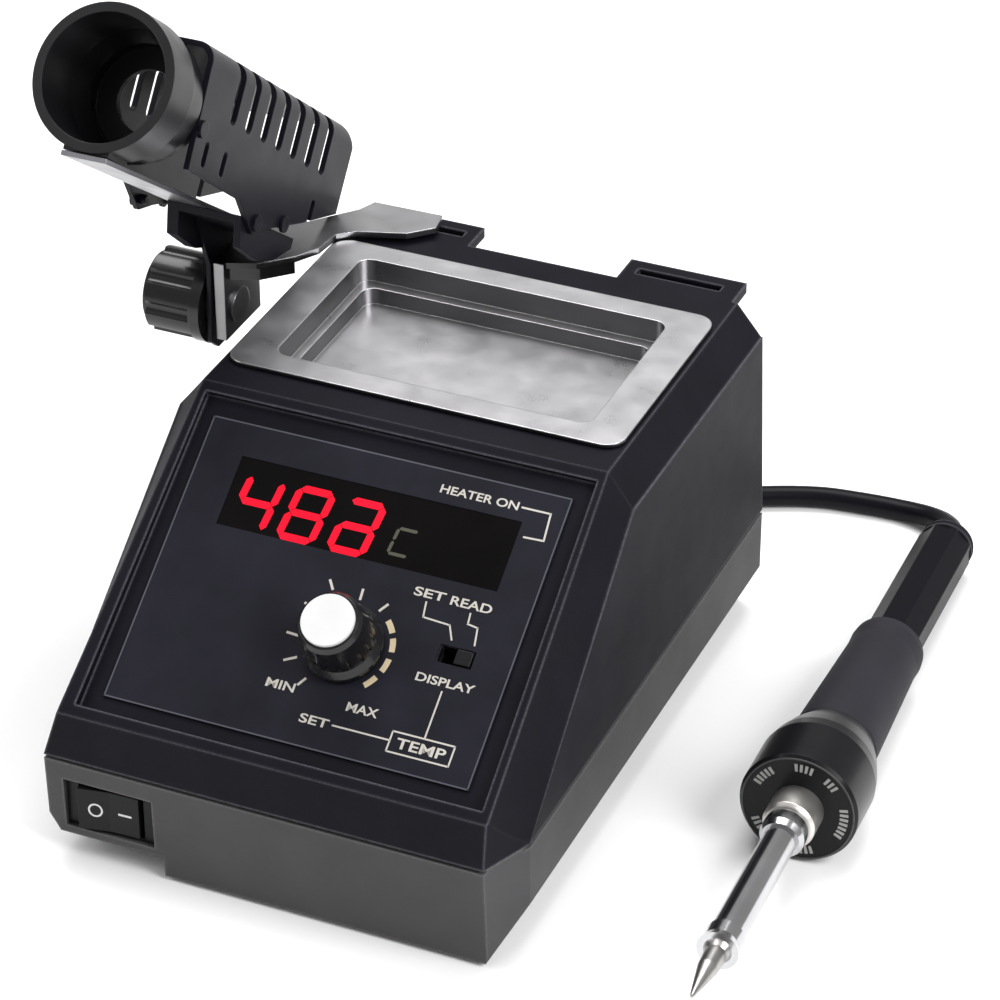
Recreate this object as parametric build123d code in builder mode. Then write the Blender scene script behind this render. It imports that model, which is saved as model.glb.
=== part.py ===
from build123d import *
from math import cos, pi, radians, sin, tan
import os

os.makedirs("parts", exist_ok=True)

# Soldering iron station. Millimetres, +Z up, origin on the table under the middle of the case,
# the control panel faces -Y. Heights are measured from the table.

# case
case_half_width = 58.0
case_front = -81.25
case_rear = 81.25
case_top = 89.7
top_rear = 75.4
parting_height = 28.1
base_bottom = 1.0
base_side_foot = 11.0
base_bevel = 5.6
corner_cut_across = 5.6
corner_cut_back = 13.5
wall = 2.6
lip_foot = (-80.45, 40.4)
slope_top = -7.8
bevel_foot_left = 54.3
bevel_foot_right = 53.0
bevel_drop_left = 28.1
bevel_drop_right = 17.6
bevel_top = 51.4
bevel_side = 81.2
groove = 1.0

# control panel, measured on the printed panel from its lower edge
panel_origin = (0.8, -73.3, 42.8)
panel_normal = (0, -0.5703, 0.8214)
panel_width = 91.2
panel_height = 72.8
panel_left = -46.7
panel_sheet = 0.6
window_size = (70.9, 17.7)
window_center = (-0.65, 55.65)
knob_center = (4.8, 25.8)
bushing_hole = 4.7
slide_opening = (30.85, 29.55)
slide_window = (8.7, 4.3)
slide_travel = 4.0

# tray
tray_center = 32.7
tray_flange = (100.8, 64.0)
tray_mouth = (81.0, 50.0)
tray_ledge = (76.0, 43.4)
tray_flange_top = 90.9
tray_ledge_top = 85.0
tray_floor = 80.8
sheet = 0.9

# holder, its axis leans back in the YZ plane
cup_mouth = (-71.0, -12.3, 167.0)
holder_lean = 38.0
cup_radius = 17.5
cup_bore = 15.2
guard_radius = 16.0
guard_crown = 15.6
guard_corner = 4.5
guard_skin = 1.4
guard_start = 20.5
guard_end = 113.0
tilt_y = 45.0
tilt_z = 78.0
leaf_inner = -69.0
leaf_outer = -71.8

# iron, stations run from the front face of the heat flange towards the tip
iron_origin = (102.65, -14.64, 14.34)
iron_forward = (0.044, -0.9976, 0.054)
flange_radius = 14.36
iron_rear = -131.0

# cord
cord_radius = 2.75
coil_center = (-22.0, 136.0)
coil_inner = 20.5
coil_outer = 40.0
gland_spot = (14.0, 14.5)
inlet_left = -39.5
inlet_width = 28.0
coil_height = 11.0


def outline(points, plane):
    with BuildSketch(plane) as drawn:
        with BuildLine():
            Polyline(*points, close=True)
        make_face()
    return drawn.sketch


def disc(plane, radius, at=(0, 0)):
    with BuildSketch(plane) as drawn:
        with Locations(at):
            Circle(radius)
    return drawn.sketch


def plate(plane, width, height, at=(0, 0), corner=0):
    with BuildSketch(plane) as drawn:
        with Locations(at):
            if corner:
                RectangleRounded(width, height, corner)
            else:
                Rectangle(width, height)
    return drawn.sketch


def block(low, high):
    size = [b - a for a, b in zip(low, high)]
    middle = ((low[0] + high[0]) / 2, (low[1] + high[1]) / 2)
    foot = plate(Plane.XY.offset(low[2]), size[0], size[1], middle)
    return extrude(foot, amount=size[2], mode=Mode.PRIVATE)


def save(piece, name):
    piece.part.label = name
    export_step(piece.part, "parts/" + name + ".step")


# ---------------------------------------------------------------- planes and axes
panel = Plane(origin=panel_origin, x_dir=(1, 0, 0), z_dir=panel_normal)

lean_cos = cos(radians(holder_lean))
lean_sin = sin(radians(holder_lean))
holder_face = Plane(origin=cup_mouth, x_dir=(1, 0, 0), z_dir=(0, -lean_cos, lean_sin))
holder_side = Plane(origin=cup_mouth, x_dir=(0, lean_cos, -lean_sin), z_dir=(1, 0, 0))
holder_axis = Axis(cup_mouth, (0, -lean_cos, lean_sin))

forward = Vector(*iron_forward).normalized()
iron_across = Vector(0, 0, 1).cross(forward).normalized()
iron_side = Plane(origin=iron_origin, x_dir=iron_across, z_dir=iron_across.cross(forward))
iron_axis = Axis(iron_origin, forward)


def iron_station(along):
    return Plane(origin=Vector(*iron_origin) + forward * along, x_dir=iron_across, z_dir=forward)


# ---------------------------------------------------------------- case
def front_corner(inset):
    """The wedge cut off the right front corner of both case halves."""
    reach = case_half_width - 0.9 * inset
    beyond = case_half_width + 9
    return [
        (reach - corner_cut_across, case_front - 1),
        (reach - corner_cut_across, case_front),
        (reach, case_front + corner_cut_back),
        (beyond, case_front + corner_cut_back),
        (beyond, case_front - 1),
    ]


def upper_form(inset):
    """Upper case body, every outer wall moved in by the inset."""
    reach = case_half_width - inset
    side = [
        (case_front + inset, parting_height - inset),
        (lip_foot[0] + inset, lip_foot[1] - 0.8 * inset),
        (slope_top - 0.3 * inset, case_top - inset),
        (top_rear - inset, case_top - inset),
        (case_rear - inset, parting_height - inset),
    ]
    with BuildPart() as form:
        extrude(outline(side, Plane.YZ), amount=reach, both=True)
        for hand in (-1, 1):
            # side bevel, widening down the slope
            low_in = (bevel_foot_right if hand > 0 else bevel_foot_left) - inset
            low_drop = bevel_drop_right if hand > 0 else bevel_drop_left
            beyond = reach + 30
            front_cut = [
                (hand * low_in, lip_foot[1] - 0.4 * inset),
                (hand * reach, low_drop - inset),
                (hand * beyond, low_drop),
                (hand * beyond, 130),
                (hand * low_in, 130),
            ]
            rear_cut = [
                (hand * (bevel_top - inset), case_top - 0.4 * inset),
                (hand * (reach - 0.4), bevel_side - inset),
                (hand * beyond, bevel_side),
                (hand * beyond, 130),
                (hand * (bevel_top - inset), 130),
            ]
            front_plane = Plane.XZ.offset(-lip_foot[0])
            rear_plane = Plane.XZ.offset(-slope_top)
            front_end = outline(front_cut, front_plane)
            rear_end = outline(rear_cut, rear_plane)
            loft([front_end, rear_end], ruled=True, mode=Mode.SUBTRACT)
            extrude(front_end, amount=4, mode=Mode.SUBTRACT)
            extrude(rear_end, amount=-120, mode=Mode.SUBTRACT)
        extrude(outline(front_corner(inset), Plane.XY), amount=130, mode=Mode.SUBTRACT)
    return form.part


post_spots = [(-46, -51), (46, -51), (-46, 68), (46, 68)]
post_tops = (56, 56, 88, 88)
post_radius = 4.0
pilot_radius = 1.3
lug_middle = 35.0
lug_half = 15.2
lug_rear = 85.3
lug_slot_middle = 34.3
lug_slot_half = 11.0
screw_clear = 1.6

with BuildPart() as upper_housing:
    add(upper_form(0))
    add(upper_form(wall), mode=Mode.SUBTRACT)
    extrude(plate(Plane.XY.offset(parting_height), 200, 200), amount=-40, mode=Mode.SUBTRACT)
    # posts for the case screws
    for spot, top in zip(post_spots, post_tops):
        post_foot = Plane.XY.offset(parting_height)
        extrude(disc(post_foot, post_radius, spot), amount=top - parting_height)
        extrude(disc(post_foot, pilot_radius, spot), amount=12, mode=Mode.SUBTRACT)
    # panel seat behind the raised lip
    seat = Plane(origin=panel_origin, x_dir=(1, 0, 0), z_dir=panel_normal).offset(-panel_sheet)
    lip_inside = [(-51.5, -4.2), (49.9, -4.2), (48.8, 77.8), (-50.4, 77.8)]
    extrude(plate(seat.offset(-wall), 102, 85, (-0.8, 36.8)), amount=wall)
    extrude(outline(lip_inside, seat), amount=12, mode=Mode.SUBTRACT)
    extrude(plate(seat.offset(1), *window_size, window_center), amount=-9, mode=Mode.SUBTRACT)
    extrude(disc(seat.offset(1), bushing_hole, knob_center), amount=-9, mode=Mode.SUBTRACT)
    extrude(plate(seat.offset(1), *slide_window, slide_opening), amount=-9, mode=Mode.SUBTRACT)
    # well for the tray
    add(block((-43.8, 4.7, 77.0), (43.8, 60.7, 88.5)))
    add(block((-41.8, 6.9, 79.0), (41.8, 58.5, 95.0)), mode=Mode.SUBTRACT)
    # lugs at the back for the holder arm
    for hand in (-1, 1):
        lug = hand * lug_middle
        slot = hand * lug_slot_middle
        add(block((lug - lug_half, 72.5, 87.0), (lug + lug_half, lug_rear, case_top)))
        slot_room = block((slot - lug_slot_half, 79.0, 80.0), (slot + lug_slot_half, 81.7, 95.0))
        add(slot_room, mode=Mode.SUBTRACT)
save(upper_housing, "upper_housing")


def base_form(inset):
    """Tub under the parting line, every outer wall moved in by the inset."""
    reach = case_half_width - inset
    section = [
        (-reach, parting_height + inset),
        (-reach, base_side_foot),
        (-reach + base_bevel, base_bottom + inset),
        (reach - base_bevel, base_bottom + inset),
        (reach, base_side_foot),
        (reach, parting_height + inset),
    ]
    side = [
        (case_front + inset, parting_height + inset),
        (case_front + 1.15 + inset, base_bottom - 1),
        (case_rear - inset, base_bottom - 1),
        (case_rear - inset, parting_height + inset),
    ]
    with BuildPart() as form:
        extrude(outline(section, Plane.XZ), amount=100, both=True)
        extrude(outline(side, Plane.YZ), amount=100, both=True, mode=Mode.INTERSECT)
        extrude(outline(front_corner(inset), Plane.XY), amount=60, mode=Mode.SUBTRACT)
    return form.part


notch_left = -70.0
notch_right = -28.5
notch_height = 6.3
switch_middle = (-42.15, 15.3)
switch_size = (22.9, 13.6)
skid_width = 5.6
skid_length = 137.0
skid_middle = -9.0
foot_spots = [(-40, -61), (40, -61), (-40, 60), (40, 60)]

with BuildPart() as base_pan:
    add(base_form(0))
    add(base_form(wall), mode=Mode.SUBTRACT)
    extrude(plate(Plane.XY.offset(parting_height), 200, 200), amount=20, mode=Mode.SUBTRACT)
    # shadow groove under the parting line
    with BuildSketch(Plane.XY.offset(parting_height)):
        Rectangle(140, 190)
        Rectangle(2 * case_half_width - 2 * groove, case_rear - case_front - 2 * groove, mode=Mode.SUBTRACT)
    extrude(amount=-groove, mode=Mode.SUBTRACT)
    for spot in post_spots:
        extrude(disc(Plane.XY.offset(base_bottom), 5.2, spot), amount=parting_height - base_bottom)
        extrude(disc(Plane.XY.offset(base_bottom - 1), 3.4, spot), amount=4.4, mode=Mode.SUBTRACT)
        extrude(disc(Plane.XY.offset(base_bottom), screw_clear, spot), amount=40, mode=Mode.SUBTRACT)
    # cut-away under the power switch
    add(block((-54.5, -79.5, 3.0), (-25.9, -69.5, notch_height + 2.1)))
    add(block((notch_left, -90, 0), (notch_right, -72.1, notch_height)), mode=Mode.SUBTRACT)
    # power switch opening
    switch_low = (switch_middle[0] - switch_size[0] / 2, -90, switch_middle[1] - switch_size[1] / 2)
    switch_high = (switch_middle[0] + switch_size[0] / 2, -72, switch_middle[1] + switch_size[1] / 2)
    add(block(switch_low, switch_high), mode=Mode.SUBTRACT)
    # mains inlet and iron cord openings in the back
    add(block((inlet_left, 70, 4.9), (inlet_left + inlet_width, 90, 24.9)), mode=Mode.SUBTRACT)
    extrude(disc(Plane.XZ.offset(-70), 5.0, gland_spot), amount=-20, mode=Mode.SUBTRACT)
    # seats for the feet and board posts
    for spot in foot_spots:
        extrude(disc(Plane.XY.offset(base_bottom - 1), 6.1, spot), amount=2.2, mode=Mode.SUBTRACT)
    for spot in [(-35, -48), (1, -48), (-35, 8), (1, 8)]:
        extrude(disc(Plane.XY.offset(base_bottom + 1), 2.5, spot), amount=7)
save(base_pan, "base_pan")

with BuildPart() as rubber_feet:
    for spot in foot_spots:
        extrude(disc(Plane.XY, 6.0, spot), amount=2.2)
    extrude(plate(Plane.XY, skid_width, skid_length, (0.1, skid_middle)), amount=base_bottom)
save(rubber_feet, "rubber_feet")

with BuildPart() as case_screws:
    for spot in post_spots:
        extrude(disc(Plane.XY.offset(base_bottom + 1.0), 3.1, spot), amount=2.4)
        extrude(disc(Plane.XY.offset(base_bottom + 3.4), pilot_radius, spot), amount=34)
        extrude(plate(Plane.XY.offset(base_bottom + 1.0), 0.8, 3.6, spot), amount=1.2, mode=Mode.SUBTRACT)
        extrude(plate(Plane.XY.offset(base_bottom + 1.0), 3.6, 0.8, spot), amount=1.2, mode=Mode.SUBTRACT)
save(case_screws, "case_screws")

# ---------------------------------------------------------------- control panel
panel_middle = (panel_left + panel_width / 2, panel_height / 2)
with BuildPart() as panel_label:
    extrude(plate(panel, panel_width, panel_height, panel_middle), amount=-panel_sheet)
    extrude(plate(panel.offset(1), *window_size, window_center), amount=-3, mode=Mode.SUBTRACT)
    extrude(disc(panel.offset(1), bushing_hole, knob_center), amount=-3, mode=Mode.SUBTRACT)
    extrude(plate(panel.offset(1), *slide_window, slide_opening), amount=-3, mode=Mode.SUBTRACT)
save(panel_label, "panel_label")

with BuildPart() as display_window:
    extrude(plate(panel.offset(-2.1), *window_size, window_center), amount=1.9)
save(display_window, "display_window")

board_depth = 13.0
with BuildPart() as display_board:
    extrude(plate(panel.offset(-board_depth), 82, 64, (-1, 37)), amount=1.6)
save(display_board, "display_board")

digit_pitch = 12.9
with BuildPart() as led_digits:
    for place in range(4):
        middle = (-28.5 + digit_pitch * place, 54.6)
        extrude(plate(panel.offset(-board_depth + 1.6), 12.6, 19.0, middle), amount=7.8)
save(led_digits, "led_digits")

with BuildPart() as heater_lamp:
    extrude(disc(panel.offset(-board_depth + 1.6), 1.5, (31.0, 60.5)), amount=7.4)
    extrude(disc(panel.offset(-board_depth + 1.6), 1.9, (31.0, 60.5)), amount=1.2)
save(heater_lamp, "heater_lamp")

with BuildPart() as pot_body:
    extrude(disc(panel.offset(-board_depth + 1.6), 8.3, knob_center), amount=7.2)
    extrude(disc(panel.offset(-4.2), 4.5, knob_center), amount=3.5)
    extrude(disc(panel.offset(-9.9), 3.05, knob_center), amount=12, mode=Mode.SUBTRACT)
save(pot_body, "pot_body")

with BuildPart() as pot_shaft:
    extrude(disc(panel.offset(-9.5), 3.0, knob_center), amount=20.5)
save(pot_shaft, "pot_shaft")

knob_side = Plane(origin=panel.from_local_coords((knob_center[0], knob_center[1], 0)), x_dir=(1, 0, 0),
                  z_dir=(0, -0.8214, -0.5703))
knob_axis = Axis(knob_side.origin, panel.z_dir)
with BuildPart() as set_knob:
    profile = [(0, 0.6), (9.6, 0.6), (9.6, 2.6), (8.4, 4.4), (7.7, 13.2), (6.9, 14.4), (0, 14.4)]
    revolve(outline(profile, knob_side), axis=knob_axis)
    for turn in range(18):
        angle = radians(turn * 20 + 10)
        spot = (knob_center[0] + 8.75 * cos(angle), knob_center[1] + 8.75 * sin(angle))
        extrude(disc(panel.offset(4.4), 0.75, spot), amount=9.2, mode=Mode.SUBTRACT)
    extrude(disc(panel, 3.0, knob_center), amount=11.0, mode=Mode.SUBTRACT)
    extrude(disc(panel.offset(14.0), 6.3, knob_center), amount=1.0, mode=Mode.SUBTRACT)
save(set_knob, "set_knob")

with BuildPart() as knob_cap:
    extrude(disc(panel.offset(14.0), 6.3, knob_center), amount=1.2)
save(knob_cap, "knob_cap")

with BuildPart() as display_switch_body:
    extrude(plate(panel.offset(-board_depth + 1.6), 16, 9, slide_opening), amount=7.4)
    extrude(plate(panel.offset(-9.3), *slide_window, slide_opening), amount=6, mode=Mode.SUBTRACT)
save(display_switch_body, "display_switch_body")

with BuildPart() as display_switch_slider:
    middle = (slide_opening[0] + slide_travel / 2, slide_opening[1])
    extrude(plate(panel.offset(-8.9), 3.9, 3.5, middle), amount=9.3)
save(display_switch_slider, "display_switch_slider")

# ---------------------------------------------------------------- power switch
rocker_half = (7.5, 5.65)
rocker_pivot = -77.0
trunnion_radius = 1.0
trunnion_reach = 6.3
with BuildPart() as power_switch_body:
    low = (switch_middle[0] - switch_size[0] / 2, -79.2, switch_middle[1] - switch_size[1] / 2)
    high = (switch_middle[0] + switch_size[0] / 2, -64.0, switch_middle[1] + switch_size[1] / 2)
    add(block(low, high))
    low = (switch_middle[0] - 8.4, -90.0, switch_middle[1] - 6.0)
    high = (switch_middle[0] + 8.4, -67.0, switch_middle[1] + 6.0)
    add(block(low, high), mode=Mode.SUBTRACT)
    pin_foot = Plane.XY.offset(switch_middle[1] - trunnion_reach - 0.1)
    pivot_spot = (switch_middle[0], rocker_pivot)
    bearing_length = 2 * trunnion_reach + 0.2
    extrude(disc(pin_foot, trunnion_radius + 0.05, pivot_spot), amount=bearing_length, mode=Mode.SUBTRACT)
    for across in (-5.5, 0, 5.5):
        blade = switch_middle[0] + across
        add(block((blade - 0.4, -64.0, 12.0), (blade + 0.4, -57.5, 18.0)))
save(power_switch_body, "power_switch_body")

with BuildPart() as power_rocker:
    # the "on" half lies in, the "off" half stands out
    x0 = switch_middle[0]
    top_view = [
        (x0 - rocker_half[0], -81.6),
        (x0, -80.2),
        (x0 + rocker_half[0], -80.0),
        (x0 + 6.9, -75.2),
        (x0 + 2.0, -71.5),
        (x0 - 2.0, -71.5),
        (x0 - 6.9, -75.2),
    ]
    plane = Plane.XY.offset(switch_middle[1] - rocker_half[1])
    extrude(outline(top_view, plane), amount=2 * rocker_half[1])
    pin_foot = Plane.XY.offset(switch_middle[1] - trunnion_reach)
    extrude(disc(pin_foot, trunnion_radius, (x0, rocker_pivot)), amount=2 * trunnion_reach)
save(power_rocker, "power_rocker")

# ---------------------------------------------------------------- tray
with BuildPart() as sponge_tray:
    flange_plane = Plane.XY.offset(tray_flange_top - sheet)
    extrude(plate(flange_plane, *tray_flange, (0, tray_center - 0.1), 5.0), amount=sheet)
    mouth_out = (tray_mouth[0] + 1.6, tray_mouth[1] + 1.6)
    ledge_out = (tray_ledge[0] + 1.6, tray_ledge[1] + 1.6)
    extrude(plate(flange_plane, *mouth_out, (0, tray_center), 4.0), amount=tray_ledge_top - 0.8 - 90.0)
    ledge_plane = Plane.XY.offset(tray_floor - 0.8)
    extrude(plate(ledge_plane, *ledge_out, (0, tray_center), 4.0), amount=4.5)
    top = Plane.XY.offset(tray_flange_top)
    mouth = plate(top, *tray_mouth, (0, tray_center), 3.4)
    extrude(mouth, amount=tray_ledge_top - tray_flange_top, mode=Mode.SUBTRACT)
    well = plate(top, *tray_ledge, (0, tray_center), 3.4)
    extrude(well, amount=tray_floor - tray_flange_top, mode=Mode.SUBTRACT)
save(sponge_tray, "sponge_tray")

# ---------------------------------------------------------------- inside the case
core_low = (-8.0, 18.0, 3.6)
core_high = (48.0, 42.0, 49.6)
limb = 10.0
with BuildPart() as transformer_core:
    add(block(core_low, core_high))
    middle = (core_low[0] + core_high[0]) / 2
    for hand in (-1, 1):
        inner = middle + hand * limb
        outer = middle + hand * (limb + 9)
        add(block((min(inner, outer), 10, 12.6), (max(inner, outer), 50, 40.6)), mode=Mode.SUBTRACT)
save(transformer_core, "transformer_core")

with BuildPart() as transformer_winding:
    add(block((middle - limb - 8.6, 9.4, 12.8), (middle + limb + 8.6, 50.6, 40.4)))
    add(block((middle - limb, 18.0, 12.0), (middle + limb, 42.0, 41.0)), mode=Mode.SUBTRACT)
save(transformer_winding, "transformer_winding")

with BuildPart() as control_board:
    add(block((-39, -52, 9.0), (5, 12, 10.6)))
save(control_board, "control_board")

with BuildPart() as board_heatsink:
    add(block((-33, -10, 10.6), (-29.5, 5, 26.0)))
    for step in range(4):
        add(block((-29.5, -10 + step * 4.4, 10.6), (-21, -8.4 + step * 4.4, 26.0)))
save(board_heatsink, "board_heatsink")

with BuildPart() as mains_fuse:
    extrude(disc(Plane.XZ.offset(30), 2.6, (-8, 14.5)), amount=20)
    for start in (30, 44):
        add(block((-11, -start - 6, 10.6), (-5, -start, 15.5)))
save(mains_fuse, "mains_fuse")

with BuildPart() as mains_inlet:
    add(block((inlet_left, 62.0, 4.9), (inlet_left + inlet_width, 82.4, 24.9)))
    cavity_right = inlet_left + inlet_width - 2.5
    add(block((inlet_left + 2.5, 66.0, 7.4), (cavity_right, 90.0, 22.4)), mode=Mode.SUBTRACT)
    for across, up in ((-7.0, 13.5), (7.0, 13.5), (0.0, 17.5)):
        pin = inlet_left + inlet_width / 2 + across
        add(block((pin - 1, 62.0, up - 2), (pin + 1, 80.0, up + 2)))
save(mains_inlet, "mains_inlet")

with BuildPart() as cord_gland:
    extrude(disc(Plane.XZ.offset(-76), 5.0, gland_spot), amount=-9.0)
    extrude(disc(Plane.XZ.offset(-case_rear), 6.8, gland_spot), amount=-5.0)
save(cord_gland, "cord_gland")

# ---------------------------------------------------------------- holder arm
arm_top = 92.5
arm_plate_thick = 1.6
arm_outline = [
    (-30, 82.3), (-48.5, 82.0), (-50.5, 77.0), (-55, 71.7), (-61, 64.5), (-71.8, 57), (-71.8, 38),
    (-62, 42), (-54.7, 49), (-51.2, 55), (-50.3, 62.9), (-46.3, 66.4), (-34.5, 70.4), (-29, 76),
]
with BuildPart() as arm_plate:
    extrude(outline(arm_outline, Plane.XY.offset(arm_top - arm_plate_thick)), amount=arm_plate_thick)
    add(block((leaf_outer, 38.0, 71.0), (leaf_inner, 57.0, arm_top)))
    rib = [(-69, 41.0), (-62, 43.8), (-55.6, 50.2), (-58.8, 51.2), (-63, 46.6), (-69, 44.0)]
    extrude(outline(rib, Plane.XY.offset(arm_top - arm_plate_thick)), amount=-4.0)
    # tongue that drops into the lug
    add(block((-44.9, 79.4, 84.0), (-30.5, 81.3, arm_top)))
    extrude(disc(Plane.YZ.offset(leaf_outer - 5), 3.0, (tilt_y, tilt_z)), amount=12, mode=Mode.SUBTRACT)
save(arm_plate, "arm_plate")

bolt_radius = 3.0
with BuildPart() as clamp_bolt:
    extrude(disc(Plane.YZ.offset(-86.5), 2.95, (tilt_y, tilt_z)), amount=14.7)
    shank_face = Plane.YZ.offset(leaf_outer)
    extrude(disc(shank_face, bolt_radius, (tilt_y, tilt_z)), amount=leaf_inner - leaf_outer)
    extrude(disc(Plane.YZ.offset(leaf_inner), 4.6, (tilt_y, tilt_z)), amount=0.8)
save(clamp_bolt, "clamp_bolt")

washer_face = -74.5
with BuildPart() as clamp_washer:
    extrude(disc(Plane.YZ.offset(washer_face), 6.0, (tilt_y, tilt_z)), amount=0.6)
    extrude(disc(Plane.YZ.offset(washer_face), 3.0, (tilt_y, tilt_z)), amount=0.6, mode=Mode.SUBTRACT)
save(clamp_washer, "clamp_washer")

knob_lobes = 8
with BuildPart() as clamp_knob:
    extrude(disc(Plane.YZ.offset(washer_face - 16.5), 9.2, (tilt_y, tilt_z)), amount=1.2)
    extrude(disc(Plane.YZ.offset(washer_face - 15.3), 10.8, (tilt_y, tilt_z)), amount=12.3)
    for turn in range(knob_lobes):
        angle = 2 * pi * turn / knob_lobes
        spot = (tilt_y + 11.8 * cos(angle), tilt_z + 11.8 * sin(angle))
        extrude(disc(Plane.YZ.offset(washer_face - 18), 2.2, spot), amount=15, mode=Mode.SUBTRACT)
    extrude(disc(Plane.YZ.offset(washer_face - 3.0), 11.2, (tilt_y, tilt_z)), amount=3.0)
    extrude(disc(Plane.YZ.offset(washer_face - 13.0), 3.0, (tilt_y, tilt_z)), amount=14, mode=Mode.SUBTRACT)
save(clamp_knob, "clamp_knob")

# ---------------------------------------------------------------- holder
guard_side = [
    (guard_start + 1.5, -14.0), (54, -14.6), (66, -20.8), (73, -18.2), (93, -12.8),
    (guard_end, -6.5), (guard_end, 10.5), (guard_end - 3.5, 14.5), (guard_end - 7, 17.0),
    (guard_start, 17.0), (guard_start, 9.0),
]
rivet_spots = [(23.3, -4.0), (66.0, -18.0), (82.0, -15.1)]
rivet_shank = 1.2
inner_half = guard_radius - guard_skin

strap_depth = guard_crown - guard_skin / 2
strap_width = 18.0
strap_margin = 8.0
with BuildPart() as crown_strap:
    strap_face = holder_face.offset(-guard_end + strap_margin)
    strap_length = guard_end - guard_start - 2 * strap_margin
    extrude(plate(strap_face, strap_width, guard_skin, (0, strap_depth)), amount=strap_length)

slot_count = 7
slot_pitch = 9.65
slot_size = (3.8, 21.0)
with BuildPart() as guard:
    far = holder_face.offset(-guard_end - 1)
    length = guard_end - guard_start + 2
    # a channel with rounded upper corners, open below
    extrude(plate(far, 2 * guard_radius, 50, (0, guard_crown - 25), guard_corner), amount=length)
    inner_crown = guard_crown - guard_skin
    hollow = plate(far, 2 * inner_half, 60, (0, inner_crown - 30), guard_corner - guard_skin)
    extrude(hollow, amount=length, mode=Mode.SUBTRACT)
    extrude(outline(guard_side, holder_side), amount=30, both=True, mode=Mode.INTERSECT)
    for step in range(slot_count):
        middle = (39.0 + slot_pitch * step, 10.9)
        extrude(plate(holder_side, *slot_size, middle, 1.8), amount=30, both=True, mode=Mode.SUBTRACT)
    add(crown_strap.part)
    for across in (28.7, 39.8, 97.2):
        extrude(plate(holder_side, 2.4, 6.0, (across, -9.0), 1.1), amount=30, both=True, mode=Mode.SUBTRACT)
    for spot in rivet_spots:
        extrude(disc(holder_side, rivet_shank, spot), amount=30, both=True, mode=Mode.SUBTRACT)
save(guard, "guard")

cup_profile = [
    (0, cup_bore), (0, cup_radius), (11.5, cup_radius), (12.2, 16.4), (20.4, 16.0), (20.4, 14.1),
    (27, 14.1), (27, 7.6), (25, 7.6), (25, 12.8), (21, 12.8), (16.5, cup_bore),
]
with BuildPart() as holder_cup:
    revolve(outline(cup_profile, holder_side), axis=holder_axis)
    for spot in rivet_spots[:1]:
        extrude(disc(holder_side, rivet_shank, spot), amount=30, both=True, mode=Mode.SUBTRACT)
    extrude(plate(holder_face.offset(-11), 11.5, 3.0, (0, -16.14)), amount=10)
    extrude(disc(holder_face.offset(-16), cup_bore), amount=17, mode=Mode.SUBTRACT)
save(holder_cup, "holder_cup")

strip_front = -17.9
strip_rear = -15.6
strip_thick = 1.2
strip_half = 5.75
strip_side = [
    (0.5, strip_front), (94, strip_rear),
    (94, strip_rear - strip_thick), (0.5, strip_front - strip_thick),
]
with BuildPart() as support_strip:
    extrude(outline(strip_side, holder_side), amount=strip_half, both=True)
save(support_strip, "support_strip")


def under_strip(along):
    share = (along - 0.5) / 93.5
    return strip_front + share * (strip_rear - strip_front) - strip_thick


ear_inner = -72.3
ear_thick = 1.2
saddle_left = -5.0
with BuildPart() as tilt_bracket:
    saddle = [
        (60, under_strip(60)), (94, under_strip(94)),
        (94, -19.5), (85, -24), (76, -26), (64, -25),
    ]
    extrude(outline(saddle, holder_side.offset(saddle_left)), amount=inner_half - saddle_left)
    hollow = [(50, under_strip(50) - 1.8), (99, under_strip(99) - 1.8), (99, -30), (50, -30)]
    hollow_plane = holder_side.offset(saddle_left + 3.0)
    extrude(outline(hollow, hollow_plane), amount=inner_half - saddle_left - 4.8, mode=Mode.SUBTRACT)
    ear = [
        (31.0, 109.5), (37.5, 92.0), (36.5, 70.6), (40, 67.5),
        (50, 67.5), (54, 74), (56, 88), (50.5, 96.5),
    ]
    extrude(outline(ear, Plane.YZ.offset(ear_inner)), amount=-ear_thick)
    extrude(disc(Plane.YZ.offset(ear_inner + 1), 3.05, (tilt_y, tilt_z)), amount=-8, mode=Mode.SUBTRACT)
    for spot in rivet_spots[1:]:
        extrude(disc(holder_side, rivet_shank, spot), amount=30, mode=Mode.SUBTRACT)
save(tilt_bracket, "tilt_bracket")

with BuildPart() as holder_rivets:
    for spot in rivet_spots:
        for hand in (-1, 1):
            wall_face = holder_side.offset(hand * guard_radius)
            extrude(disc(wall_face, 2.1, spot), amount=hand * 0.9)
            extrude(disc(wall_face, rivet_shank, spot), amount=-hand * 3.0)
save(holder_rivets, "holder_rivets")

# ---------------------------------------------------------------- iron
with BuildPart() as heater_tube:
    profile = [(3.3, -60), (4.0, -60), (4.0, 54.0), (3.3, 54.0)]
    revolve(outline(profile, iron_side), axis=iron_axis)
save(heater_tube, "heater_tube")

with BuildPart() as heater_element:
    revolve(outline([(0, -30), (2.6, -30), (2.6, 34.0), (0, 34.0)], iron_side), axis=iron_axis)
save(heater_element, "heater_element")

with BuildPart() as soldering_tip:
    profile = [(0, 35.0), (3.3, 35.0), (3.3, 59.6), (2.6, 61.0), (2.4, 66.5), (0.5, 77.3), (0, 77.5)]
    revolve(outline(profile, iron_side), axis=iron_axis)
save(soldering_tip, "soldering_tip")

with BuildPart() as tip_nut:
    profile = [
        (4.0, 53.7), (4.5, 53.7), (4.3, 57.4), (4.9, 59.6), (3.3, 59.6), (3.3, 54.0), (4.0, 54.0),
    ]
    revolve(outline(profile, iron_side), axis=iron_axis)
save(tip_nut, "tip_nut")

with BuildPart() as retaining_nut:
    profile = [(4.0, 8.0), (5.2, 8.0), (5.4, 9.0), (5.4, 12.4), (4.7, 14.0), (4.0, 14.0)]
    revolve(outline(profile, iron_side), axis=iron_axis)
save(retaining_nut, "retaining_nut")

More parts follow.
